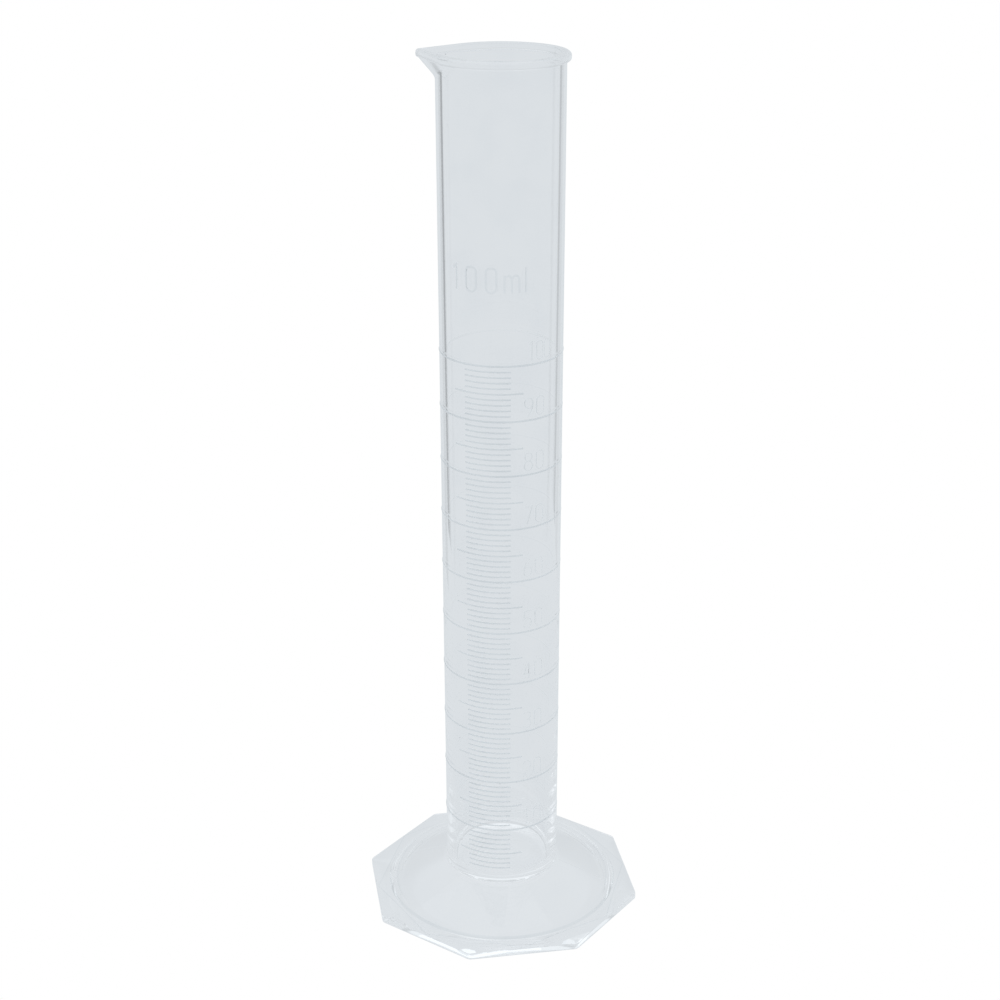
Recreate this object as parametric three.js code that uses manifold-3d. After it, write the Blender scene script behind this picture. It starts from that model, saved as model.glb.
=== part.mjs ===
// A 100 ml graduated cylinder in clear plastic: a tall tapered tube with a pouring spout, a rim bead
// and raised graduation rings, seated in a shallow recess of a hollow eight-sided foot.
// Millimetres, +Z up. The origin is the centre of the foot's underside, on the tube's axis.
// The spout points along -X, the scale faces -Y, and the foot's corners lie on the X and Y axes.
import * as THREE from "three";
import { ConvexGeometry } from "three/addons/geometries/ConvexGeometry.js";
import { mergeVertices } from "three/addons/utils/BufferGeometryUtils.js";
import Module from "manifold-3d";

// Overall
const HEIGHT = 240.8; // the rim above the surface the foot stands on

// Tube: the outer radius grows evenly with height, and the wall is a fixed share of it
const TUBE_RADIUS = 15.885; // outer radius, carried down to z = 0
const TUBE_TAPER = 0.0022; // radius gained per millimetre of height
const WALL_SHARE = 0.102; // wall thickness over outer radius
const BORE_FLOOR = 11.6; // height of the bore's flat floor
const FLOOR_FILLET = 1.6; // radius between the floor and the wall
const END_CHAMFER = 0.4; // on the tube's closed lower end
const TUBE_SIDES = 64;

// Graduations: one raised ring for each 10 ml
const RING_COUNT = 10;
const RING_VOLUME = 10000; // cubic millimetres between two rings
const RING_WIDTH = 0.34;
const RING_PROUD = 0.15;

// Rim bead, which runs on round the spout
const BEAD_RADIUS = 17.54;
const BEAD_HEIGHT = 2.1;
const BEAD_ROUND = 0.5; // how far the bead's upper and lower edges draw in
const BEAD_LIFT = 0.125; // how far the bead's underside slopes up towards its edge
const MOUTH_BEVEL = 0.3;

// Spout
const SPOUT_REACH = 21.9; // from the axis to the tip
const SPOUT_TIP_RADIUS = 1.3;
const SPOUT_DROP = 7.4; // from the rim down to where the keel meets the wall
const SPOUT_WALL = 1.3;
const CHANNEL_TIP_RADIUS = 0.5;
const CHANNEL_DEPTH = 1.15; // at the channel's outer end
const CHANNEL_LEAN = 0.4; // how far that end leans in towards the bore
const CHANNEL_DROP = 6.35; // from the rim down to where the channel meets the bore
const SPOUT_HALF_ANGLE = 38; // degrees each side of -X at which the spout leaves the bead
const SPOUT_STEPS = 8; // points along each half of its arcs

// Foot
const FOOT_SIDES = 8;
const FOOT_FLAT_RADIUS = 36.9; // from the axis to the middle of each side
const CORNER_ROUND = 2.0; // radius of the eight upright corners
const FOOT_EDGE_HEIGHT = 2.0;
const FACET_RISE = 0.4; // from the edge up to the middle of a corner facet's inner border
const SHOULDER_FOOT = [33.0, 2.6]; // radius and height where the round dome starts
const SHOULDER_TOP = [31.9, 3.9];
const DOME_START = [30.4, 4.75];
const DOME_MIDDLE = [23.4, 7.75];
const JOINT_HEIGHT = 10.5; // where the dome meets the tube
const SEAT_HEIGHT = 9.2; // floor of the recess that the tube stands in
const SEAT_CLEARANCE = 0.1; // radial room for the adhesive
const HOLLOW_RADIUS = 31.0; // the underside's hollow, at the surface the foot stands on
const HOLLOW_EDGE = [30.3, 1.5];
const HOLLOW_SLOPE = [28.2, 3.55];
const HOLLOW_MIDDLE = [22.6, 5.95];
const HOLLOW_CENTRE = [15.0, 8.0]; // the flat roof under the tube
const FOOT_STEPS = 96; // points round each ring of the foot; a multiple of twice FOOT_SIDES

const wasm = await Module();
wasm.setup();

const tubeRadius = (z) => TUBE_RADIUS + TUBE_TAPER * z;
const boreRadius = (z) => (1 - WALL_SHARE) * tubeRadius(z);

// Turns a closed geometry into a solid, and a solid back into a geometry.
function solid(geometry) {
  const bare = geometry.clone();
  bare.deleteAttribute("normal");
  bare.deleteAttribute("uv");
  const merged = mergeVertices(bare, 1e-4);
  return new wasm.Manifold(
    new wasm.Mesh({
      numProp: 3,
      vertProperties: merged.attributes.position.array,
      triVerts: new Uint32Array(merged.index.array),
    }),
  );
}

function geometryOf(manifold) {
  const mesh = manifold.getMesh();
  const geometry = new THREE.BufferGeometry();
  geometry.setAttribute("position", new THREE.BufferAttribute(mesh.vertProperties, 3));
  geometry.setIndex(new THREE.BufferAttribute(mesh.triVerts, 1));
  geometry.computeVertexNormals();
  return geometry;
}

// Spins a profile of [radius, height] points about Z. The profile runs up the outside.
function lathe(profile, sides) {
  const points = profile.map(([radius, height]) => new THREE.Vector2(radius, height));
  return new THREE.LatheGeometry(points, sides).rotateX(Math.PI / 2);
}

// How far the centroid of a fillet's section lies from either of its walls, over the fillet's radius.
const FILLET_CENTROID = (10 - 3 * Math.PI) / (12 - 3 * Math.PI);

// Height of the ring that marks a volume: the bore's taper and its floor fillet are allowed for.
function ringHeight(volume) {
  const bore = 1 - WALL_SHARE;
  const filletArea = (1 - Math.PI / 4) * FLOOR_FILLET ** 2;
  const filletRadius = boreRadius(BORE_FLOOR) - FILLET_CENTROID * FLOOR_FILLET;
  const filletVolume = 2 * Math.PI * filletRadius * filletArea;
  const needed = (3 * TUBE_TAPER * (volume + filletVolume)) / (Math.PI * bore ** 2);
  return (Math.cbrt(tubeRadius(BORE_FLOOR) ** 3 + needed) - TUBE_RADIUS) / TUBE_TAPER;
}

// The tube's outside as a solid of revolution: closed end, ringed wall and rim bead.
function tubeOutside() {
  const profile = [
    [0, SEAT_HEIGHT],
    [tubeRadius(SEAT_HEIGHT) - END_CHAMFER, SEAT_HEIGHT],
    [tubeRadius(SEAT_HEIGHT + END_CHAMFER), SEAT_HEIGHT + END_CHAMFER],
  ];
  for (let ring = 1; ring <= RING_COUNT; ring += 1) {
    const height = ringHeight(ring * RING_VOLUME);
    profile.push([tubeRadius(height - RING_WIDTH / 2), height - RING_WIDTH / 2]);
    profile.push([tubeRadius(height) + RING_PROUD, height]);
    profile.push([tubeRadius(height + RING_WIDTH / 2), height + RING_WIDTH / 2]);
  }
  const underBead = HEIGHT - BEAD_HEIGHT;
  profile.push([tubeRadius(underBead), underBead]);
  profile.push([BEAD_RADIUS - BEAD_ROUND, underBead + BEAD_LIFT]);
  profile.push([BEAD_RADIUS, underBead + BEAD_LIFT + BEAD_ROUND]);
  profile.push([BEAD_RADIUS, HEIGHT - BEAD_ROUND]);
  profile.push([BEAD_RADIUS - BEAD_ROUND, HEIGHT]);
  profile.push([0, HEIGHT]);
  return solid(lathe(profile, TUBE_SIDES));
}

// The bore as a solid of revolution that runs out past the rim.
function bore() {
  const profile = [[0, BORE_FLOOR]];
  const centre = [boreRadius(BORE_FLOOR) - FLOOR_FILLET, BORE_FLOOR + FLOOR_FILLET];
  const filletSteps = 4;
  for (let step = 0; step <= filletSteps; step += 1) {
    const angle = (step / filletSteps - 1) * (Math.PI / 2);
    profile.push([centre[0] + FLOOR_FILLET * Math.cos(angle), centre[1] + FLOOR_FILLET * Math.sin(angle)]);
  }
  const mouth = boreRadius(HEIGHT);
  profile.push([mouth, HEIGHT - MOUTH_BEVEL]);
  profile.push([mouth + 2 * MOUTH_BEVEL, HEIGHT + MOUTH_BEVEL]);
  profile.push([0, HEIGHT + MOUTH_BEVEL]);
  return solid(lathe(profile, TUBE_SIDES));
}

// One level of the spout: its tip's arc and the arc on the bead or bore that it grows from.
function spoutLevel(rootRadius, tipReach, tipRadius, height) {
  const half = THREE.MathUtils.degToRad(SPOUT_HALF_ANGLE);
  const points = [];
  for (let step = -SPOUT_STEPS; step <= SPOUT_STEPS; step += 1) {
    const angle = Math.PI + (half * step) / SPOUT_STEPS;
    const across = Math.PI + ((Math.PI / 2) * step) / SPOUT_STEPS;
    const tipCentre = -(tipReach - tipRadius);
    points.push(new THREE.Vector3(rootRadius * Math.cos(angle), rootRadius * Math.sin(angle), height));
    points.push(
      new THREE.Vector3(tipCentre + tipRadius * Math.cos(across), tipRadius * Math.sin(across), height),
    );
  }
  return points;
}

// The spout's outside: the bead's section drawn out to the tip, over a keel that runs down the wall.
function spoutOutside() {
  const drawnIn = BEAD_RADIUS - BEAD_ROUND;
  const underBead = HEIGHT - BEAD_HEIGHT;
  const keel = HEIGHT - SPOUT_DROP;
  const points = [
    ...spoutLevel(drawnIn, SPOUT_REACH - BEAD_ROUND, SPOUT_TIP_RADIUS - BEAD_ROUND, HEIGHT),
    ...spoutLevel(BEAD_RADIUS, SPOUT_REACH, SPOUT_TIP_RADIUS, HEIGHT - BEAD_ROUND),
    ...spoutLevel(BEAD_RADIUS, SPOUT_REACH, SPOUT_TIP_RADIUS, underBead + BEAD_LIFT + BEAD_ROUND),
    ...spoutLevel(drawnIn, SPOUT_REACH - BEAD_ROUND, SPOUT_TIP_RADIUS - BEAD_ROUND, underBead),
    new THREE.Vector3(-tubeRadius(keel), 0, keel),
  ];
  return solid(new ConvexGeometry(points));
}

// The channel inside the spout, open to the bore and to the air above the rim.
function spoutChannel() {
  const reach = SPOUT_REACH - SPOUT_WALL;
  const keel = HEIGHT - CHANNEL_DROP;
  const root = boreRadius(HEIGHT);
  const points = [
    ...spoutLevel(root, reach, CHANNEL_TIP_RADIUS, HEIGHT + MOUTH_BEVEL),
    ...spoutLevel(root, reach - CHANNEL_LEAN, CHANNEL_TIP_RADIUS, HEIGHT - CHANNEL_DEPTH),
    new THREE.Vector3(-boreRadius(keel), 0, keel),
  ];
  return solid(new ConvexGeometry(points));
}

function graduatedTubeGeometry() {
  const body = tubeOutside().add(spoutOutside());
  return geometryOf(body.subtract(bore()).subtract(spoutChannel()));
}

// Radius at an angle of a regular polygon with one corner at angle 0. Its corners may be rounded.
function polygonRadius(flatRadius, angle, cornerRound = 0) {
  const half = Math.PI / FOOT_SIDES;
  const turn = ((angle % (2 * half)) + 2 * half) % (2 * half);
  const fromCorner = Math.min(turn, 2 * half - turn);
  const centre = (flatRadius - cornerRound) / Math.cos(half);
  const arcEnd = Math.atan2(cornerRound * Math.sin(half), centre + cornerRound * Math.cos(half));
  if (fromCorner >= arcEnd) {
    return flatRadius / Math.cos(half - fromCorner);
  }
  const halfChord = Math.sqrt(cornerRound ** 2 - (centre * Math.sin(fromCorner)) ** 2);
  return centre * Math.cos(fromCorner) + halfChord;
}

// One ring of the foot: radius and height as functions of the angle.
function footRing(radiusAt, heightAt) {
  const points = [];
  for (let step = 0; step < FOOT_STEPS; step += 1) {
    const angle = (2 * Math.PI * step) / FOOT_STEPS;
    const radius = radiusAt(angle);
    points.push([radius * Math.cos(angle), radius * Math.sin(angle), heightAt(angle, radius)]);
  }
  return points;
}

const roundRing = ([radius, height]) => footRing(() => radius, () => height);

// Skins a run of rings, closed at both ends by a fan to a point on the axis.
function skinned(rings, firstHeight, lastHeight) {
  const positions = [...rings.flat(2), 0, 0, firstHeight, 0, 0, lastHeight];
  const first = rings.length * FOOT_STEPS;
  const last = first + 1;
  const index = [];
  for (let step = 0; step < FOOT_STEPS; step += 1) {
    const next = (step + 1) % FOOT_STEPS;
    index.push(first, next, step);
    for (let ring = 0; ring + 1 < rings.length; ring += 1) {
      const low = ring * FOOT_STEPS;
      const high = low + FOOT_STEPS;
      index.push(low + step, low + next, high + next, low + step, high + next, high + step);
    }
    const top = (rings.length - 1) * FOOT_STEPS;
    index.push(last, top + step, top + next);
  }
  const geometry = new THREE.BufferGeometry();
  geometry.setAttribute("position", new THREE.Float32BufferAttribute(positions, 3));
  geometry.setIndex(index);
  return geometry;
}

// The foot is one shell: hollow roof, resting rim, eight-sided edge with a facet at each corner,
// round dome and the recess that holds the tube's end.
function octagonalFootGeometry() {
  const facetInnermost = FOOT_FLAT_RADIUS * Math.cos(Math.PI / FOOT_SIDES);
  const edge = (angle) => polygonRadius(FOOT_FLAT_RADIUS, angle, CORNER_ROUND);
  const facet = (angle) => polygonRadius(facetInnermost, angle + Math.PI / FOOT_SIDES);
  const facetHeight = (angle, radius) =>
    FOOT_EDGE_HEIGHT + (FACET_RISE * (FOOT_FLAT_RADIUS - radius)) / (FOOT_FLAT_RADIUS - facetInnermost);
  const seatRadius = tubeRadius(JOINT_HEIGHT) + SEAT_CLEARANCE;
  const rings = [
    roundRing(HOLLOW_CENTRE),
    roundRing(HOLLOW_MIDDLE),
    roundRing(HOLLOW_SLOPE),
    roundRing(HOLLOW_EDGE),
    roundRing([HOLLOW_RADIUS, 0]),
    footRing(edge, () => 0),
    footRing(edge, () => FOOT_EDGE_HEIGHT),
    footRing(facet, facetHeight),
    roundRing(SHOULDER_FOOT),
    roundRing(SHOULDER_TOP),
    roundRing(DOME_START),
    roundRing(DOME_MIDDLE),
    roundRing([seatRadius, JOINT_HEIGHT]),
    roundRing([seatRadius, SEAT_HEIGHT]),
  ];
  return geometryOf(solid(skinned(rings, HOLLOW_CENTRE[1], SEAT_HEIGHT)));
}

const clearPlastic = (colour) =>
  new THREE.MeshStandardMaterial({
    color: colour,
    roughness: 0.06,
    metalness: 0,
    transparent: true,
    opacity: 0.45,
  });

const cylinder = new THREE.Group();
cylinder.name = "graduated_cylinder";

const tube = new THREE.Mesh(graduatedTubeGeometry(), clearPlastic("#dadfe3"));
tube.name = "graduated_tube";
cylinder.add(tube);

const foot = new THREE.Mesh(octagonalFootGeometry(), clearPlastic("#d7dee2"));
foot.name = "octagonal_foot";
cylinder.add(foot);

export default cylinder;
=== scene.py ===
"""The looks of a clear plastic 100 ml graduated cylinder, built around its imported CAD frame.

Every size is in metres unless a line says otherwise, in the frame's own axes: +Z up the tube, the spout
towards -X, the scale towards -Y.
"""
import math

import bmesh
import bpy
import numpy as np
from mathutils import Matrix, Vector


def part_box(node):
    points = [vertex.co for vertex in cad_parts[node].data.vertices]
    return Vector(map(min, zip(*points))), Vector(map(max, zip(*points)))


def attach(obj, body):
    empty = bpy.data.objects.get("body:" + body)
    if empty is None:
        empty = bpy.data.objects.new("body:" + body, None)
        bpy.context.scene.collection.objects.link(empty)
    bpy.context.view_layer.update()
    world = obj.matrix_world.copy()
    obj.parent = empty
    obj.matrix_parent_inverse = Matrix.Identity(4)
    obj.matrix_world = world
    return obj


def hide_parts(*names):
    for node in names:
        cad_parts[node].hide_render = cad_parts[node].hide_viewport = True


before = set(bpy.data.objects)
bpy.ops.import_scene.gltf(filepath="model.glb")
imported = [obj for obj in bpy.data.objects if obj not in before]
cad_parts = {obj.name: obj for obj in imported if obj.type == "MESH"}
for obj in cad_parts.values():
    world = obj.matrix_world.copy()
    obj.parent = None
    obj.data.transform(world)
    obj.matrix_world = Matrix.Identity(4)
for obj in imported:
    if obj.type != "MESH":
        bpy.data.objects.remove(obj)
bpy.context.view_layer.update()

MM = 0.001
TUBE_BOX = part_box("graduated_tube")
FOOT_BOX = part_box("octagonal_foot")

# Tube
HEIGHT = TUBE_BOX[1].z
SEAT = TUBE_BOX[0].z
TUBE_RADIUS = 15.885 * MM  # outer radius, carried down to z = 0
TUBE_TAPER = 0.0022  # radius gained per unit of height
WALL_SHARE = 0.102  # wall thickness over outer radius
BORE_FLOOR = 11.6 * MM
FLOOR_FILLET = 1.6 * MM
FILLET_CENTROID = (10 - 3 * math.pi) / (12 - 3 * math.pi)  # of a fillet's section, from the corner
END_CHAMFER = 0.4 * MM
ROUND_COLUMNS = 208  # mesh columns round the tube, away from the spout
SPOUT_COLUMNS = 26  # mesh columns on each side of the spout
SPOUT_SPAN = math.radians(56)  # the part of the tube, each side of -X, that those follow

# Raised scale
RING_COUNT = 10
RING_VOLUME = 10000 * MM**3
RING_HALF_WIDTH = 0.26 * MM
RING_PROUD = 0.15 * MM
RING_MARGIN = 1.2  # a row of points on the plain wall beside each ring, over the ring's half width
BACK_SHARE = 0.3  # how proud the rings stand at the back, over the front
TOP_BACK_SHARE = 0.9  # the same for the top ring
MARK_HALF_WIDTH = 0.22 * MM
MARK_PROUD = 0.18 * MM
RIDGE = [(1, 0), (0.5, 0.68), (0.28, 0.9), (0.1, 0.985)]  # half a ridge's section, [across, up]
RIDGE_ROOT = 0.6  # how deep a mark's section reaches into the wall, over how proud it stands
SHORT_MARK = math.radians(21.8)  # half the angle that each mark spans
HALF_WAY_MARK = math.radians(33.6)
FIRST_MARK = 2  # millilitres
DIGIT_HEIGHT = 5.0 * MM
DIGIT_WIDTH = 2.35 * MM
DIGIT_PITCH = 3.5 * MM
DIGIT_LIFT = 1.1 * MM  # from a ring to the foot of its digits
DIGITS_START = math.radians(35.0)
WIDE_NUMBER_SHIFT = 0.9 * MM  # for the three digits of the top number
WIDE_NUMBER_PITCH = 0.72  # over the pitch and width of the others
WIDE_NUMBER_WIDTH = 0.828
NUMERAL_HALF_WIDTH = 0.14 * MM
NUMERAL_PROUD = 0.1 * MM
CAPACITY_BASE = 183.7 * MM
CAPACITY_HEIGHT = 6.4 * MM
CAPACITY_HALF_WIDTH = 0.3 * MM
CAPACITY_PROUD = 0.16 * MM
CAPACITY_LAYOUT = [  # each character, its left side and its width, in degrees round the tube
    ("1", -35.5, 9.6),
    ("0", -19.6, 10.0),
    ("0", -0.4, 9.4),
    ("m", 16.2, 13.2),
    ("l", 35.8, 1.0),
]

# Rim and spout
BEAD_RADIUS = 17.54 * MM
BEAD_HEIGHT = 2.1 * MM
BEAD_UNDER_ROUND = 0.75 * MM
BEAD_TOP_ROUND = 0.85 * MM
MOUTH_ROUND = 0.35 * MM
SPOUT_REACH = -TUBE_BOX[0].x
SPOUT_TIP = 1.3 * MM  # radius of its rounded tip, seen from above
SPOUT_DROP = 7.4 * MM
SPOUT_WALL = 1.5 * MM
LEAST_TIP = 0.3 * MM
KEEL_TAPER = 0.5  # the tip's radius at the keel's lower end, over that at the bead
CHANNEL_TIP = 0.45 * MM
CHANNEL_TAPER = 0.6  # the same for the channel
CHANNEL_DEPTH = 1.26 * MM  # below the rim, where the channel starts to slope in
SPOUT_STEPS = 18  # rings down the keel, and down the channel

# Foot
FLAT_RADIUS = 36.9 * MM
CORNER_ROUND = 2.0 * MM
EDGE_HEIGHT = 2.0 * MM
JOINT = FOOT_BOX[1].z
FOOT_SIDES = 8
EDGE_ROUND = 0.3 * MM
FACET_OUTER = FLAT_RADIUS - EDGE_ROUND  # flat radius of the facets' outer borders
FACET_INNER = FACET_OUTER * math.cos(math.pi / FOOT_SIDES)  # and of their inner borders
FACET_RISE = 0.4 * MM
CREASE_WIDTH = 0.3 * MM  # of the thin line inside each facet's border, which carries painted shade
SHOULDER_RADIUS = 33.0 * MM  # the foot of the dome
SHOULDER_HEIGHT = 2.6 * MM
SHOULDER_LINE = (0.05 * MM, 0.45 * MM)  # how far inside that radius its line of painted shade runs
JOINT_FILLET = 0.45 * MM
PARTING_RIDGE = 0.03 * MM
BOND_GAP = 0.08 * MM  # between the two pieces where they are fused
# The foot's profile in millimetres, [radius, height]: Bezier curves, and the rim of the hollow's flat middle
HOLLOW_CURVE = [(31.0, 0.0), (30.9, 1.6), (29.8, 3.1), (26.0, 4.75), (20.5, 6.6), (15.6, 8.0)]
HOLLOW_CENTRE = (4.0, 8.0)
DOME_CURVE = [(33.0, 2.6), (32.4, 3.9), (31.3, 4.45), (29.0, 5.4), (22.5, 8.1), (16.3, 10.02)]


def tube_radius(z):
    return TUBE_RADIUS + TUBE_TAPER * z


def bore_radius(z):
    return (1 - WALL_SHARE) * tube_radius(z)


def ring_height(volume):
    """Height at which the bore holds a volume, with its taper and its floor fillet allowed for."""
    fillet_area = (1 - math.pi / 4) * FLOOR_FILLET**2
    fillet_volume = 2 * math.pi * (bore_radius(BORE_FLOOR) - FILLET_CENTROID * FLOOR_FILLET) * fillet_area
    needed = 3 * TUBE_TAPER * (volume + fillet_volume) / (math.pi * (1 - WALL_SHARE) ** 2)
    return (np.cbrt(tube_radius(BORE_FLOOR) ** 3 + needed) - TUBE_RADIUS) / TUBE_TAPER


# ---------------------------------------------------------------- camera

VIEW_AZIMUTH = math.radians(13.2)
VIEW_PITCH = math.radians(22.13)
VIEW_ROLL = math.radians(-0.06)
VIEW_DISTANCE = 507.06 * MM
VIEW_POINT_HEIGHT = 121.26 * MM
LENS = 67.41  # millimetres, with the sensor below
SENSOR_WIDTH = 36
SIDE_SHIFT = -0.0014  # of the picture's width


def make_camera():
    data = bpy.data.cameras.new("camera")
    data.lens = LENS
    data.sensor_width = SENSOR_WIDTH
    data.shift_x = SIDE_SHIFT
    data.clip_start = 0.01
    data.clip_end = 50
    camera = bpy.data.objects.new("camera", data)
    bpy.context.scene.collection.objects.link(camera)
    flat = VIEW_DISTANCE * math.cos(VIEW_PITCH)
    camera.location = (
        flat * math.sin(VIEW_AZIMUTH),
        -flat * math.cos(VIEW_AZIMUTH),
        VIEW_POINT_HEIGHT + VIEW_DISTANCE * math.sin(VIEW_PITCH),
    )
    turn = Matrix.Rotation(VIEW_AZIMUTH, 3, "Z") @ Matrix.Rotation(math.pi / 2 - VIEW_PITCH, 3, "X")
    camera.rotation_euler = (turn @ Matrix.Rotation(VIEW_ROLL, 3, "Z")).to_euler()
    bpy.context.scene.camera = camera


# ---------------------------------------------------------------- mesh tools


def new_mesh(name, points, faces):
    mesh = bpy.data.meshes.new(name)
    mesh.from_pydata([tuple(p) for p in points], [], faces)
    mesh.validate()
    return mesh


MERGE_DISTANCE = 0.002 * MM
TUBE_SMOOTHING = math.radians(28)
FOOT_SMOOTHING = math.radians(20)


def merge_doubles(mesh):
    """Makes one point of those that lie together, and drops the faces that this closes."""
    work = bmesh.new()
    work.from_mesh(mesh)
    bmesh.ops.remove_doubles(work, verts=work.verts, dist=MERGE_DISTANCE)
    work.to_mesh(mesh)
    work.free()


def new_object(name, mesh):
    piece = bpy.data.objects.new(name, mesh)
    bpy.context.scene.collection.objects.link(piece)
    return piece


def skin(name, rings):
    """A closed mesh through a run of rings, each an array of points, with a fan to the axis at both ends.

    All rings have the same number of points, so neighbours join into quads.
    """
    columns = len(rings[0])
    points = np.concatenate([*rings, [[0, 0, rings[0][0][2]]], [[0, 0, rings[-1][0][2]]]])
    first, last = len(points) - 2, len(points) - 1
    top = (len(rings) - 1) * columns
    faces = []
    for here in range(columns):
        following = (here + 1) % columns
        faces.append((first, following, here))
        faces.append((last, top + here, top + following))
        for low in range(0, top, columns):
            high = low + columns
            faces.append((low + here, low + following, high + following, high + here))
    return new_mesh(name, points, faces)


def union(body, addition):
    """Joins a closed mesh onto a piece and throws the addition away."""
    modifier = body.modifiers.new("join", "BOOLEAN")
    modifier.operation = "UNION"
    modifier.solver = "MANIFOLD"
    modifier.object = addition
    bpy.context.view_layer.update()
    graph = bpy.context.evaluated_depsgraph_get()
    joined = bpy.data.meshes.new_from_object(body.evaluated_get(graph))
    body.modifiers.clear()
    body.data = joined
    bpy.data.objects.remove(addition)


def shade(piece, angle):
    """Smooth, with an edge kept sharp where its faces turn by more than the angle."""
    mesh = piece.data
    mesh.shade_smooth()
    mesh.set_sharp_from_angle(angle=angle)


# ---------------------------------------------------------------- tube


def spout_columns():
    """Shares of the spout's outline, from its tip, closer together round the tip."""
    steps = np.arange(SPOUT_COLUMNS + 1) / SPOUT_COLUMNS
    return 0.35 * steps + 0.65 * steps**2.2


def spout_half(radius, reach, tip):
    """One side of a circle drawn out to a rounded tip: points from the tip round to the span's end."""
    tip = min(tip, radius)
    centre = max(reach, radius) - tip
    turn = math.acos(min((radius - tip) / centre, 1.0))
    round_tip = tip * turn
    straight = math.sqrt(max(centre**2 - (radius - tip) ** 2, 0.0))
    total = round_tip + straight + radius * (SPOUT_SPAN - turn)
    points = []
    for share in spout_columns():
        along = share * total
        if along < round_tip:
            angle = along / tip
            points.append((centre + tip * math.cos(angle), tip * math.sin(angle)))
        elif along < round_tip + straight:
            beyond = along - round_tip
            points.append((
                centre + tip * math.cos(turn) - beyond * math.sin(turn),
                tip * math.sin(turn) + beyond * math.cos(turn),
            ))
        else:
            angle = turn + (along - round_tip - straight) / radius
            points.append((radius * math.cos(angle), radius * math.sin(angle)))
    return points


def tube_ring(radius, z, reach=0.0, tip=SPOUT_TIP):
    """One ring of the tube. reach is how far the spout stands from the axis at this level."""
    side = spout_half(radius, reach, tip)
    points = [(-x, y, z) for x, y in reversed(side)]
    points += [(-x, -y, z) for x, y in side[1:]]
    for step in range(1, ROUND_COLUMNS):
        angle = -math.pi + SPOUT_SPAN + 2 * (math.pi - SPOUT_SPAN) * step / ROUND_COLUMNS
        points.append((radius * math.cos(angle), radius * math.sin(angle), z))
    return np.array(points)


def arc(centre_r, centre_z, radius, start, end, steps):
    """Points [r, z] on an arc of the profile, with the angles in degrees."""
    angles = np.radians(np.linspace(start, end, steps + 1))
    return [(centre_r + radius * math.cos(a), centre_z + radius * math.sin(a)) for a in angles]


def outer_wall_rings():
    """From the closed lower end up to the spout's keel, with a round ridge at each 10 ml."""
    rings = [
        tube_ring(tube_radius(SEAT) - END_CHAMFER, SEAT),
        tube_ring(tube_radius(SEAT + END_CHAMFER), SEAT + END_CHAMFER),
        tube_ring(tube_radius(JOINT), JOINT),
    ]
    section = [(-across, up) for across, up in RIDGE] + RIDGE[::-1]
    section = [(-RING_MARGIN, 0)] + section + [(RING_MARGIN, 0)]
    for count in range(1, RING_COUNT + 1):
        middle = ring_height(count * RING_VOLUME)
        back = TOP_BACK_SHARE if count == RING_COUNT else BACK_SHARE
        for across, up in section:
            z = middle + across * RING_HALF_WIDTH
            ring = tube_ring(tube_radius(z), z)
            facing = -ring[:, 1] / tube_radius(z)
            share = back + (1 - back) * np.clip(0.5 + 1.5 * facing, 0, 1)  # full at the front
            ring[:, :2] *= (1 + share * up * RING_PROUD / tube_radius(z))[:, None]
            rings.append(ring)
    return rings


def spout_keel_rings():
    """The outer wall from the keel's lower end up to the bead."""
    low = HEIGHT - SPOUT_DROP
    high = HEIGHT - BEAD_HEIGHT
    reach_high = SPOUT_REACH - BEAD_UNDER_ROUND
    rings = []
    for step in range(SPOUT_STEPS + 1):
        share = step / SPOUT_STEPS
        z = low + share * (high - low)
        reach = tube_radius(z) + share * (reach_high - tube_radius(z))
        tip = SPOUT_TIP * (KEEL_TAPER + (1 - KEEL_TAPER) * share)
        rings.append(tube_ring(tube_radius(z), z, reach, tip))
    return rings


def bead_rings():
    """The rim bead's section, drawn out round the spout, and the rim's top in to the mouth."""
    low = HEIGHT - BEAD_HEIGHT
    under, over = BEAD_UNDER_ROUND, BEAD_TOP_ROUND
    section = arc(BEAD_RADIUS - under, low + under, under, -80, 0, 5)
    section += arc(BEAD_RADIUS - over, HEIGHT - over, over, 0, 90, 7)
    rings = []
    for radius, z in section:
        inset = BEAD_RADIUS - radius
        rings.append(tube_ring(radius, z, SPOUT_REACH - inset, max(SPOUT_TIP - inset, LEAST_TIP)))
    return rings


def channel_rings():
    """From the mouth's edge down the spout's channel to the plain bore."""
    mouth = bore_radius(HEIGHT)
    reach = SPOUT_REACH - SPOUT_WALL
    rings = []
    for radius, z in arc(mouth + MOUTH_ROUND, HEIGHT - MOUTH_ROUND, MOUTH_ROUND, 90, 180, 5):
        rings.append(tube_ring(radius, z, reach + radius - mouth, CHANNEL_TIP))
    high = HEIGHT - CHANNEL_DEPTH
    low = HEIGHT - SPOUT_DROP
    for step in range(SPOUT_STEPS + 1):
        share = 1 - step / SPOUT_STEPS
        z = low + share * (high - low)
        wide = bore_radius(z) + share * (reach - bore_radius(z))
        tip = CHANNEL_TIP * (CHANNEL_TAPER + (1 - CHANNEL_TAPER) * share)
        rings.append(tube_ring(bore_radius(z), z, wide, tip))
    return rings


def bore_rings():
    """The bore from the channel down to the flat floor."""
    fillet = FLOOR_FILLET
    rings = []
    for r, z in arc(bore_radius(BORE_FLOOR) - fillet, BORE_FLOOR + fillet, fillet, 0, -90, 8):
        rings.append(tube_ring(r, z))
    return rings


# ---------------------------------------------------------------- raised marks and numerals


def line(*points):
    return list(points)


BOW_STEP = 18  # degrees


def bow(x, y, half_width, half_height, start, end):
    """An elliptical arc, in unit-box coordinates, with the angles in degrees."""
    steps = max(2, round(abs(end - start) / BOW_STEP))
    angles = np.radians(np.linspace(start, end, steps + 1))
    return [(x + half_width * math.cos(a), y + half_height * math.sin(a)) for a in angles]


def upside_down(strokes):
    return [[(1 - x, 1 - y) for x, y in stroke] for stroke in strokes]


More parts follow.
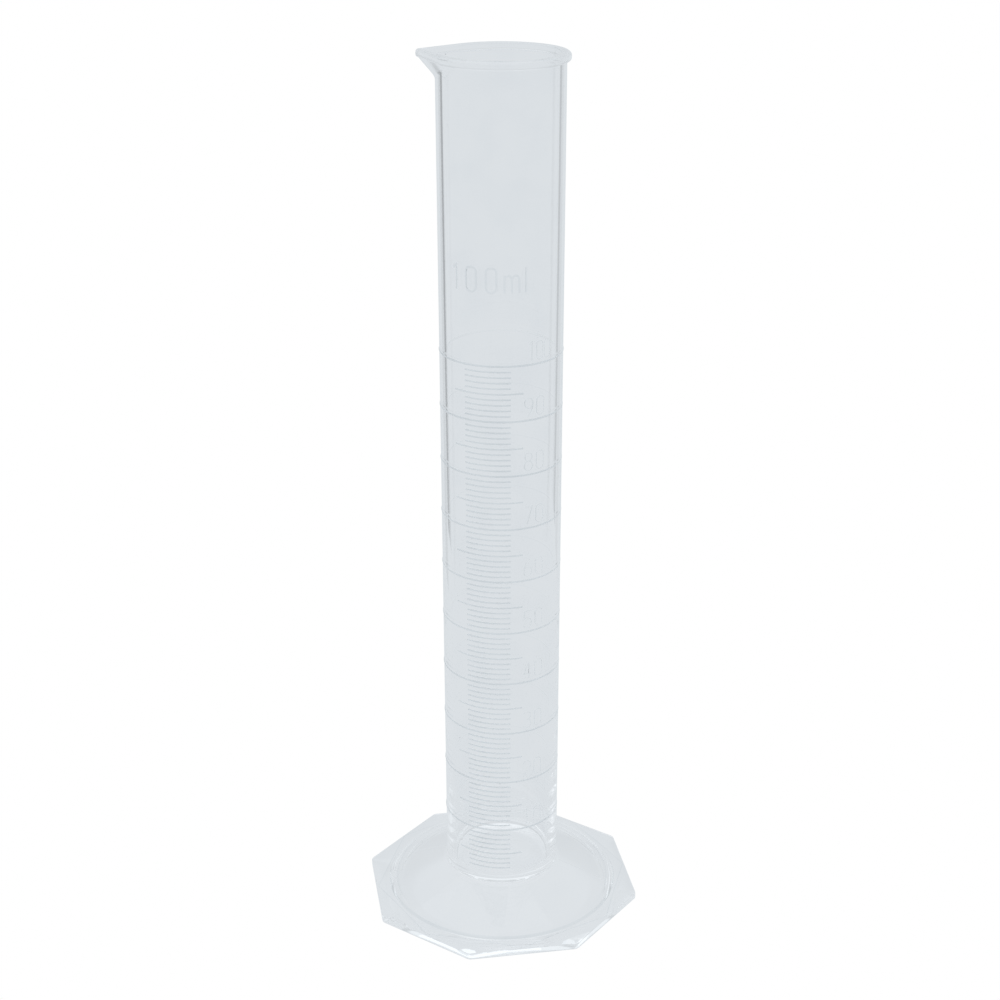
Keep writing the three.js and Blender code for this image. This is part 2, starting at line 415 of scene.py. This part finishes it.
SIX = [bow(0.5, 0.28, 0.5, 0.28, 180, 540), bow(0.92, 0.28, 0.92, 0.72, 180, 100)]
GLYPHS = {
    "0": [bow(0.5, 0.8, 0.5, 0.2, 0, 180) + bow(0.5, 0.2, 0.5, 0.2, 180, 360) + line((1, 0.8))],
    "1": [line((0.1, 0.84), (0.55, 1), (0.55, 0))],
    "2": [bow(0.5, 0.73, 0.5, 0.27, 165, -28) + line((0, 0), (1, 0))],
    "3": [bow(0.47, 0.76, 0.47, 0.24, 150, -90), bow(0.47, 0.26, 0.53, 0.26, 90, -150)],
    "4": [line((0.72, 0), (0.72, 1), (0, 0.26)), line((0, 0.26), (1, 0.26))],
    "5": [line((0.92, 1), (0.12, 1), (0.06, 0.52)) + bow(0.47, 0.3, 0.53, 0.3, 125, -150)],
    "6": SIX,
    "7": [line((0, 1), (1, 1), (0.36, 0))],
    "8": [bow(0.5, 0.27, 0.5, 0.27, 90, 450), bow(0.5, 0.77, 0.43, 0.23, -90, 270)],
    "9": upside_down(SIX),
    "m": [
        line((0, 0), (0, 0.7)),
        bow(0.25, 0.47, 0.25, 0.23, 180, 0) + line((0.5, 0)),
        bow(0.75, 0.47, 0.25, 0.23, 180, 0) + line((1, 0)),
    ],
    "l": [line((0, 0), (0, 1))],
}


def on_tube(along, z):
    """The point of the tube's outside at an arc length right of the scale's centre, and its normal."""
    radius = tube_radius(z)
    angle = -math.pi / 2 + along / radius
    outward = np.array([math.cos(angle), math.sin(angle), 0.0])
    return outward * radius + np.array([0, 0, z]), outward


def finely(stroke, step=0.6 * MM):
    """The stroke with points added, so that it follows the tube's curve."""
    points = [np.array(stroke[0])]
    for end in stroke[1:]:
        start = points[-1]
        end = np.array(end)
        count = max(1, math.ceil(np.linalg.norm(end - start) / step))
        points += [start + (end - start) * k / count for k in range(1, count + 1)]
    return points


def ridge(stroke, half_width, proud):
    """Points and faces of one raised line: the ridge's section swept along a stroke on the tube."""
    section = RIDGE + [(-across, up) for across, up in RIDGE[::-1]]
    section += [(-1, -RIDGE_ROOT), (1, -RIDGE_ROOT)]
    sides = len(section)
    path = finely(stroke)
    closed = np.linalg.norm(path[0] - path[-1]) < 0.01 * MM
    if closed:
        path = path[:-1]
    count = len(path)
    places, normals = zip(*[on_tube(*p) for p in path])
    points, faces = [], []
    for k in range(count):
        before = places[(k - 1) % count] if closed or k else places[0]
        after = places[(k + 1) % count] if closed or k < count - 1 else places[-1]
        into = places[k] - before
        out = after - places[k]
        into = into / np.linalg.norm(into) if np.linalg.norm(into) else out / np.linalg.norm(out)
        out = out / np.linalg.norm(out) if np.linalg.norm(out) else into
        along = into + out
        along /= np.linalg.norm(along)
        mitre = 1 / max(float(along @ into), 0.6)  # cut short at sharp turns
        across = np.cross(normals[k], along)
        for sideways, up in section:
            side = across * half_width * mitre * sideways
            points.append(places[k] + side + normals[k] * proud * up)
    for k in range(count if closed else count - 1):
        here, there = k * sides, ((k + 1) % count) * sides
        for j in range(sides):
            i = (j + 1) % sides
            faces.append((here + j, here + i, there + i, there + j))
    if not closed:
        faces.append(tuple(reversed(range(sides))))
        faces.append(tuple(range((count - 1) * sides, count * sides)))
    return points, faces


def ridges(name, strokes, half_width, proud):
    """One mesh object that holds a ridge for each stroke."""
    points, faces = [], []
    for stroke in strokes:
        its_points, its_faces = ridge(stroke, half_width, proud)
        faces += [tuple(i + len(points) for i in face) for face in its_faces]
        points += its_points
    mesh = new_mesh(name, points, faces)
    return new_object(name, mesh)


def mark_strokes():
    """The short mark at each millilitre and the longer one half way between two rings."""
    strokes = []
    for millilitre in range(FIRST_MARK, RING_COUNT * 10):
        if millilitre % 10 == 0:
            continue
        z = ring_height(millilitre * RING_VOLUME / 10)
        half = (HALF_WAY_MARK if millilitre % 5 == 0 else SHORT_MARK) * tube_radius(z)
        strokes.append([(-half, z), (half, z)])
    return strokes


def placed(glyph, left, base, width, height):
    return [[(left + x * width, base + y * height) for x, y in stroke] for stroke in GLYPHS[glyph]]


def numeral_strokes():
    """The digits above each ring, to the right of the marks."""
    glyphs = []
    for count in range(1, RING_COUNT + 1):
        ring = ring_height(count * RING_VOLUME)
        text = str(count * 10)
        left = DIGITS_START * tube_radius(ring)
        pitch, width = DIGIT_PITCH, DIGIT_WIDTH
        if len(text) > 2:
            left += WIDE_NUMBER_SHIFT
            pitch *= WIDE_NUMBER_PITCH
            width *= WIDE_NUMBER_WIDTH
        for place, glyph in enumerate(text):
            glyphs.append(placed(glyph, left + place * pitch, ring + DIGIT_LIFT, width, DIGIT_HEIGHT))
    return glyphs


def capacity_strokes():
    """The capacity, written large between the scale and the rim."""
    degree = math.radians(1) * tube_radius(CAPACITY_BASE)
    return [
        placed(glyph, left * degree, CAPACITY_BASE, width * degree, CAPACITY_HEIGHT)
        for glyph, left, width in CAPACITY_LAYOUT
    ]


def add_scale(tube):
    """Joins the marks and numerals onto the tube, strokes that cross each other in separate passes."""
    union(tube, ridges("marks", mark_strokes(), MARK_HALF_WIDTH, MARK_PROUD))
    sets = (
        (numeral_strokes(), NUMERAL_HALF_WIDTH, NUMERAL_PROUD),
        (capacity_strokes(), CAPACITY_HALF_WIDTH, CAPACITY_PROUD),
    )
    for glyphs, half_width, proud in sets:
        for turn in range(max(map(len, glyphs))):
            strokes = [glyph[turn] for glyph in glyphs if len(glyph) > turn]
            union(tube, ridges("strokes", strokes, half_width, proud))


BOND_SLOT = 1  # faces where the two pieces are fused
RIDGE_SLOT = 2  # the rings, marks and mouth's edge, which carry painted shade
STROKE_SLOT = 3  # the numerals, the capacity and the creases of the foot, which carry painted shade
LEAST_PROUD = 0.02 * MM  # of a face that belongs to a raised mark
RING_REACH = 0.39 * MM  # faces this near a ring's height belong to the ring


def paint(piece, slot, is_chosen):
    """Gives the chosen faces one of the piece's other materials."""
    for face in piece.data.polygons:
        if is_chosen(face):
            face.material_index = slot


def is_ridge(face):
    """A face that gets painted shade: a raised face of the scale, or one of the mouth's rounded edge."""
    centre = face.center
    if centre.z > HEIGHT - MOUTH_ROUND:
        return centre.xy.length < bore_radius(HEIGHT) + MOUTH_ROUND
    return centre.z < HEIGHT - SPOUT_DROP and centre.xy.length > tube_radius(centre.z) + LEAST_PROUD


def is_stroke(face):
    """A raised face that belongs to a numeral or the capacity, and to no ring or mark: it gets the strokes'
    painted shade.
    """
    centre = face.center
    if not is_ridge(face) or centre.z > HEIGHT - MOUTH_ROUND:
        return False
    rings = [ring_height(count * RING_VOLUME) for count in range(1, RING_COUNT + 1)]
    beyond_marks = centre.z > rings[-1] or math.atan2(centre.x, -centre.y) > HALF_WAY_MARK
    return beyond_marks and min(abs(centre.z - z) for z in rings) > RING_REACH


def make_tube():
    rings = outer_wall_rings() + spout_keel_rings() + bead_rings() + channel_rings() + bore_rings()
    tube = new_object("clear_tube", skin("clear_tube", rings))
    add_scale(tube)
    merge_doubles(tube.data)
    shade(tube, TUBE_SMOOTHING)
    give_materials(tube)
    paint(tube, BOND_SLOT, lambda face: face.center.z < JOINT)
    paint(tube, RIDGE_SLOT, is_ridge)
    paint(tube, STROKE_SLOT, is_stroke)
    return tube


# ---------------------------------------------------------------- foot


def foot_angles():
    """Angles round the foot: evenly spread, with more at the rounded corners."""
    sector = 2 * math.pi / FOOT_SIDES
    within = np.radians([0, 0.25, 0.5, 0.75, 1.1, 2, 4, 7, 10.5, 14, 17.5, 20.5, 22.5])
    half = np.concatenate([within, sector - within[1:-1][::-1]])
    return np.concatenate([half + k * sector for k in range(FOOT_SIDES)])


def polygon_radius(flat, angle, corner_round=0.0):
    """Radius of a regular polygon's outline. Its first corner is at angle 0, and corners may be rounded."""
    half = math.pi / FOOT_SIDES
    off_corner = abs((angle + half) % (2 * half) - half)
    centre = (flat - corner_round) / math.cos(half)
    end = math.atan2(corner_round * math.sin(half), centre + corner_round * math.cos(half))
    if off_corner >= end:
        return flat / math.cos(half - off_corner)
    half_chord = math.sqrt(corner_round**2 - (centre * math.sin(off_corner)) ** 2)
    return centre * math.cos(off_corner) + half_chord


def foot_ring(radius_at, height_at):
    points = []
    for angle in foot_angles():
        radius = radius_at(angle)
        points.append((radius * math.cos(angle), radius * math.sin(angle), height_at(angle, radius)))
    return np.array(points)


def round_ring(radius, z, ridge_height=0.0):
    """A circle, which may carry the two raised mould lines along X."""

    def height_at(angle, _radius):
        on_line = abs(math.sin(angle)) < 1e-6
        return z + ridge_height if on_line else z

    return foot_ring(lambda angle: radius, height_at)


def bezier(points, steps):
    """Points on a Bezier curve of any degree."""
    degree = len(points) - 1
    points = np.array(points)
    found = []
    for t in np.linspace(0, 1, steps + 1):
        weights = [math.comb(degree, k) * t**k * (1 - t) ** (degree - k) for k in range(degree + 1)]
        found.append(tuple(np.array(weights) @ points))
    return found


def edge_ring(inset, z):
    """The eight-sided outline, drawn in by inset."""
    return foot_ring(
        lambda angle: polygon_radius(FLAT_RADIUS - inset, angle, CORNER_ROUND - inset),
        lambda angle, _radius: z,
    )


def facet_border(angle):
    """The corner facets' inner borders run straight from one side's middle to the next."""
    return polygon_radius(FACET_INNER, angle + math.pi / FOOT_SIDES)


def facet_height(angle, _radius=None):
    """Height of the facets' inner borders, which rise towards the middle of each facet."""
    share = (FACET_OUTER - facet_border(angle)) / (FACET_OUTER - FACET_INNER)
    return EDGE_HEIGHT + FACET_RISE * share


def crease_ring():
    """Just inside the facets' borders, on the way to the foot of the dome."""

    def height_at(angle, _radius):
        low = facet_height(angle)
        return low + (SHOULDER_HEIGHT - low) * CREASE_WIDTH / (facet_border(angle) - SHOULDER_RADIUS)

    return foot_ring(lambda angle: facet_border(angle) - CREASE_WIDTH, height_at)


def is_crease(face):
    """The thin line inside each facet's border, and the darker line at the foot of the dome, which both get
    painted shade.
    """
    centre = face.center
    if centre.z < EDGE_HEIGHT:
        return False
    border = facet_border(math.atan2(centre.y, centre.x))
    radius = centre.xy.length
    near, far = SHOULDER_LINE
    return border - CREASE_WIDTH < radius < border or near < SHOULDER_RADIUS - radius < far


def crease_facets(mesh):
    """Keeps the facets' inner borders crisp."""

    def on_border(point):
        off = point.xy.length - facet_border(math.atan2(point.y, point.x))
        return abs(off) < MERGE_DISTANCE and point.z > EDGE_HEIGHT / 2

    for edge in mesh.edges:
        if all(on_border(mesh.vertices[end].co) for end in edge.vertices):
            edge.use_edge_sharp = True


def foot_rings():
    """From the middle of the hollow out to the edge, and over the dome down into the seat."""
    profile = [HOLLOW_CENTRE] + bezier(HOLLOW_CURVE, 20)[::-1]
    rings = [round_ring(r * MM, z * MM) for r, z in profile]
    for r, z in arc(EDGE_ROUND, EDGE_ROUND, EDGE_ROUND, -90, 0, 3):
        rings.append(edge_ring(2 * EDGE_ROUND - r, z))
    for r, z in arc(EDGE_ROUND, EDGE_HEIGHT - EDGE_ROUND, EDGE_ROUND, 0, 90, 3):
        rings.append(edge_ring(2 * EDGE_ROUND - r, z))
    rings += [foot_ring(facet_border, facet_height), crease_ring()]
    rings += [round_ring(r * MM, z * MM, PARTING_RIDGE) for r, z in bezier(DOME_CURVE, 24)]
    wall = tube_radius(JOINT)
    for r, z in arc(wall + JOINT_FILLET, JOINT, JOINT_FILLET, 255, 180, 6):
        rings.append(round_ring(r, z))
    rings.append(round_ring(wall + BOND_GAP, JOINT - BOND_GAP))
    rings.append(round_ring(wall + BOND_GAP, SEAT - BOND_GAP))
    return rings


def is_seat(face):
    """A face of the recess that holds the tube's closed end."""
    low = SEAT - 2 * BOND_GAP
    wall = tube_radius(JOINT) + 2 * BOND_GAP
    return face.center.z > low and face.center.xy.length < wall


def make_foot():
    foot = new_object("clear_foot", skin("clear_foot", foot_rings()))
    merge_doubles(foot.data)
    shade(foot, FOOT_SMOOTHING)
    crease_facets(foot.data)
    give_materials(foot)
    paint(foot, STROKE_SLOT, is_crease)
    paint(foot, BOND_SLOT, is_seat)
    return foot


# ---------------------------------------------------------------- nodes


def add_node(tree, kind, inputs=None, **settings):
    """Adds a node, and sets or links its inputs by name or number."""
    node = tree.nodes.new(kind)
    for name, value in settings.items():
        setattr(node, name, value)
    for key, value in (inputs or {}).items():
        if isinstance(value, bpy.types.NodeSocket):
            tree.links.new(value, node.inputs[key])
        else:
            node.inputs[key].default_value = value
    return node


def colour_ramp(tree, fac, stops):
    """A colour ramp, with each stop as (position, (r, g, b))."""
    node = add_node(tree, "ShaderNodeValToRGB", {"Fac": fac})
    ramp = node.color_ramp
    ramp.interpolation = "EASE"
    while len(ramp.elements) < len(stops):
        ramp.elements.new(0.5)
    for element, (position, colour) in zip(ramp.elements, stops):
        element.position = position
        element.color = (*colour, 1)
    return node.outputs["Color"]


def grey_ramp(tree, fac, stops):
    """A ramp in greys, with each stop as (position, level)."""
    return colour_ramp(tree, fac, [(position, (level,) * 3) for position, level in stops])


def math_node(tree, operation, *values):
    """The result of a sum on numbers, node outputs or both."""
    return add_node(tree, "ShaderNodeMath", dict(enumerate(values)), operation=operation).outputs[0]


def vector_node(tree, operation, output, *values):
    """One output, by name or number, of a sum on vectors."""
    inputs = dict(enumerate(values))
    return add_node(tree, "ShaderNodeVectorMath", inputs, operation=operation).outputs[output]


# ---------------------------------------------------------------- materials

PLASTIC_IOR = 1.57
PLASTIC_TINT = ((0.983, 0.986, 0.989), (1.0, 1.0, 1.0))  # least and most clear, by patches
RIDGE_SHADE = ((0.68, 0.72, 0.74), (0.76, 0.80, 0.82))  # painted shade: the rings, marks and mouth's edge are coloured darker than the plain wall
# Painted shade, lighter than the ridges', on the numerals, the capacity and the foot's creases
STROKE_SHADE = ((0.84, 0.87, 0.88), (0.90, 0.92, 0.93))
# The ridges' painted shade fades to this lighter colour at the tube's rear
REAR_SHADE = (0.93, 0.945, 0.95, 1)
REAR_FADE = [(0.2, 0), (0.75, 1)]  # by how far back, with 0 at the front of the tube and 1 at its rear
PATCH_SIZE = 9 * MM
SCUFF_SIZE = 2.5 * MM
SCUFF_STRETCH = (1, 1, 0.3)  # scuffs run up and down the tube
SCUFF_ROUGHNESS = 0.012
WAVE_SIZE = 14 * MM
WAVE_DEPTH = 0.006 * MM
SPECK_SPACING = 11 * MM  # between those points, about
SPECK_RADIUS = 0.16 * MM
SPECK_TINT = (0.35, 0.36, 0.38)


def shade_fainter_at_rear(tree, place, tint_and_shade):
    """The ridges' painted shade fades round the tube, from the side that carries the scale to the rear."""
    depth = add_node(tree, "ShaderNodeSeparateXYZ", {0: place}).outputs["Y"]
    share = math_node(tree, "MULTIPLY_ADD", depth, 0.5 / TUBE_RADIUS, 0.5)
    fade = grey_ramp(tree, share, REAR_FADE)
    mix = add_node(tree, "ShaderNodeMix", {"Factor": fade, "A": tint_and_shade, "B": REAR_SHADE}, data_type="RGBA")
    return mix.outputs["Result"]


def specks(tree, place):
    """A dark speck wherever the surface passes close to one of a scatter of points."""
    points = add_node(tree, "ShaderNodeTexVoronoi", {"Vector": place, "Scale": 1 / SPECK_SPACING})
    edge = SPECK_RADIUS / SPECK_SPACING
    stops = [(0.8 * edge, SPECK_TINT), (1.2 * edge, (1, 1, 1))]
    return colour_ramp(tree, points.outputs["Distance"], stops)


def noise(tree, place, size, detail):
    inputs = {"Vector": place, "Scale": 1 / size, "Detail": detail}
    return add_node(tree, "ShaderNodeTexNoise", inputs).outputs["Fac"]


def clear_plastic(name, tints_and_shades=PLASTIC_TINT, fades=False):
    """Clear moulded plastic: faint patches, a few specks, slow waves, and scuffs that blur it a little. The
    tints given for the ridges and strokes are painted shade.
    """
    material = bpy.data.materials.new(name)
    material.use_nodes = True
    tree = material.node_tree
    shader = tree.nodes["Principled BSDF"]
    shader.inputs["IOR"].default_value = PLASTIC_IOR
    shader.inputs["Transmission Weight"].default_value = 1.0
    place = add_node(tree, "ShaderNodeTexCoord").outputs["Object"]

    patches = noise(tree, place, PATCH_SIZE, 3.0)
    tint_and_shade = colour_ramp(tree, patches, [(0.3, tints_and_shades[0]), (0.6, tints_and_shades[1])])
    if fades:
        tint_and_shade = shade_fainter_at_rear(tree, place, tint_and_shade)
    colour = vector_node(tree, "MULTIPLY", 0, tint_and_shade, specks(tree, place))
    tree.links.new(colour, shader.inputs["Base Color"])

    scuffs = noise(tree, vector_node(tree, "MULTIPLY", 0, place, SCUFF_STRETCH), SCUFF_SIZE, 4.0)
    blur = grey_ramp(tree, scuffs, [(0.6, 0), (0.75, SCUFF_ROUGHNESS)])
    tree.links.new(blur, shader.inputs["Roughness"])

    waves = noise(tree, place, WAVE_SIZE, 1.0)
    inputs = {"Height": waves, "Distance": WAVE_DEPTH, "Strength": 1.0}
    bump = add_node(tree, "ShaderNodeBump", inputs)
    tree.links.new(bump.outputs["Normal"], shader.inputs["Normal"])
    return material


def fused_joint():
    """Where the tube is fused into the foot no surface shows, so light passes straight on."""
    material = bpy.data.materials.new("fused_joint")
    material.use_nodes = True
    tree = material.node_tree
    tree.nodes.clear()
    clear = add_node(tree, "ShaderNodeBsdfTransparent").outputs["BSDF"]
    add_node(tree, "ShaderNodeOutputMaterial", {"Surface": clear})
    return material


def give_materials(piece):
    """One material for each slot, which comes before the faces are painted."""
    materials = piece.data.materials
    materials.clear()
    materials.append(clear_plastic("plastic_" + piece.name))
    materials.append(fused_joint())
    # The ridges and strokes get darker colours, which are painted shade
    materials.append(clear_plastic("ridges_" + piece.name, RIDGE_SHADE, fades=True))
    materials.append(clear_plastic("strokes_" + piece.name, STROKE_SHADE))


# ---------------------------------------------------------------- stage and light

SURROUND = (0.712, 0.747, 0.777, 1)  # the pale grey that shows through and in the plastic
WHITE = (1, 1, 1, 1)  # the floor and backdrop, as the camera sees them
FLOOR_SIZE = 0.4
FLOOR_DROP = 0.05 * MM
HORIZON_STRENGTH = 0.15  # the share of the light that each dim zone takes away
FLAG_STRENGTH = 0.6
SOFTBOX_PLACE = (-0.3, -0.3, 1.5)
SOFTBOX_SIZE = 2.5
SOFTBOX_POWER = 3
VIEW_RIGHT = (math.cos(VIEW_AZIMUTH), math.sin(VIEW_AZIMUTH), 0)
VIEW_BACK = (-math.sin(VIEW_AZIMUTH), math.cos(VIEW_AZIMUTH), 0)
# Levels by how far back a direction points, with 0 square to the view and 1 straight away
BEHIND = [(0.0, 0), (0.3, 1)]
# Levels by how far up it points, with 0 straight down and 1 straight up
OVERHEAD = [(0, 1), (0.7, 1), (0.8, 1.22), (1, 1.22)]
HORIZON = [(0.52, 0), (0.56, 1), (0.72, 1), (0.78, 0)]
LOW = [(0.2, 0), (0.28, 1), (0.42, 1), (0.47, 0)]
# Levels by how far across it points, with 0 to the left and 1 to the right
OFF_CENTRE = [(0.4, 1), (0.48, 0.4), (0.52, 0.4), (0.6, 1)]
SIDES = [(0.13, 0), (0.16, 1), (0.18, 1), (0.23, 0), (0.77, 0), (0.82, 0.6), (0.84, 0.6), (0.87, 0)]


def product(tree, first, *others):
    for other in others:
        first = math_node(tree, "MULTIPLY", first, other)
    return first


def make_world():
    """Even light from all round, brighter overhead, with dim zones behind that draw the plastic's edges."""
    world = bpy.data.worlds.new("studio")
    bpy.context.scene.world = world
    world.use_nodes = True
    tree = world.node_tree
    tree.nodes.clear()
    way = add_node(tree, "ShaderNodeTexCoord").outputs["Generated"]
    rise = add_node(tree, "ShaderNodeSeparateXYZ", {0: way}).outputs["Z"]
    right = vector_node(tree, "DOT_PRODUCT", "Value", way, VIEW_RIGHT)
    back = vector_node(tree, "DOT_PRODUCT", "Value", way, VIEW_BACK)
    up = math_node(tree, "MULTIPLY_ADD", rise, 0.5, 0.5)
    across = math_node(tree, "MULTIPLY_ADD", right, 0.5, 0.5)
    behind = grey_ramp(tree, back, BEHIND)

    horizon = product(
        tree, grey_ramp(tree, up, HORIZON), grey_ramp(tree, across, OFF_CENTRE), behind, HORIZON_STRENGTH
    )
    flags = product(tree, grey_ramp(tree, up, LOW), grey_ramp(tree, across, SIDES), behind, FLAG_STRENGTH)
    level = product(
        tree,
        grey_ramp(tree, up, OVERHEAD),
        math_node(tree, "SUBTRACT", 1.0, horizon),
        math_node(tree, "SUBTRACT", 1.0, flags),
    )
    around = add_node(tree, "ShaderNodeBackground", {"Color": SURROUND, "Strength": level})
    seen = add_node(tree, "ShaderNodeBackground", {"Color": WHITE})
    path = add_node(tree, "ShaderNodeLightPath").outputs["Is Camera Ray"]
    mix = add_node(tree, "ShaderNodeMixShader", {0: path, 1: around.outputs[0], 2: seen.outputs[0]})
    add_node(tree, "ShaderNodeOutputWorld", {"Surface": mix.outputs[0]})


def make_floor():
    """A small plain floor: past it, what shows through the plastic is the world."""
    half = FLOOR_SIZE / 2
    corners = [(x * half, y * half, -FLOOR_DROP) for x, y in ((-1, -1), (1, -1), (1, 1), (-1, 1))]
    floor = new_object("floor", new_mesh("floor", corners, [(0, 1, 2, 3)]))
    material = bpy.data.materials.new("floor")
    material.use_nodes = True
    tree = material.node_tree
    tree.nodes.clear()
    path = add_node(tree, "ShaderNodeLightPath").outputs["Is Camera Ray"]
    mix = add_node(tree, "ShaderNodeMix", {"Factor": path, "A": SURROUND, "B": WHITE}, data_type="RGBA")
    glow = add_node(tree, "ShaderNodeEmission", {"Color": mix.outputs["Result"]})
    add_node(tree, "ShaderNodeOutputMaterial", {"Surface": glow.outputs["Emission"]})
    floor.data.materials.append(material)


def make_softbox():
    """One large soft light from above, which faces the middle of the cylinder."""
    data = bpy.data.lights.new("overhead_softbox", "AREA")
    data.size = SOFTBOX_SIZE
    data.energy = SOFTBOX_POWER
    light = bpy.data.objects.new("overhead_softbox", data)
    bpy.context.scene.collection.objects.link(light)
    light.location = SOFTBOX_PLACE
    towards = Vector((0, 0, HEIGHT / 2)) - Vector(SOFTBOX_PLACE)
    light.rotation_euler = towards.to_track_quat("-Z", "Y").to_euler()


# ---------------------------------------------------------------- the scene

# Light is led a long way inside the clear walls before it leaves them
MOST_BOUNCES = 1024

make_camera()
make_world()
make_floor()
make_softbox()
cycles = bpy.context.scene.cycles
cycles.max_bounces = MOST_BOUNCES
cycles.transmission_bounces = MOST_BOUNCES
cycles.glossy_bounces = MOST_BOUNCES
cycles.transparent_max_bounces = MOST_BOUNCES

tube = make_tube()
foot = make_foot()
for piece, node in ((tube, "graduated_tube"), (foot, "octagonal_foot")):
    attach(piece, "root")
    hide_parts(node)

bpy.context.scene.view_settings.view_transform = "Standard"
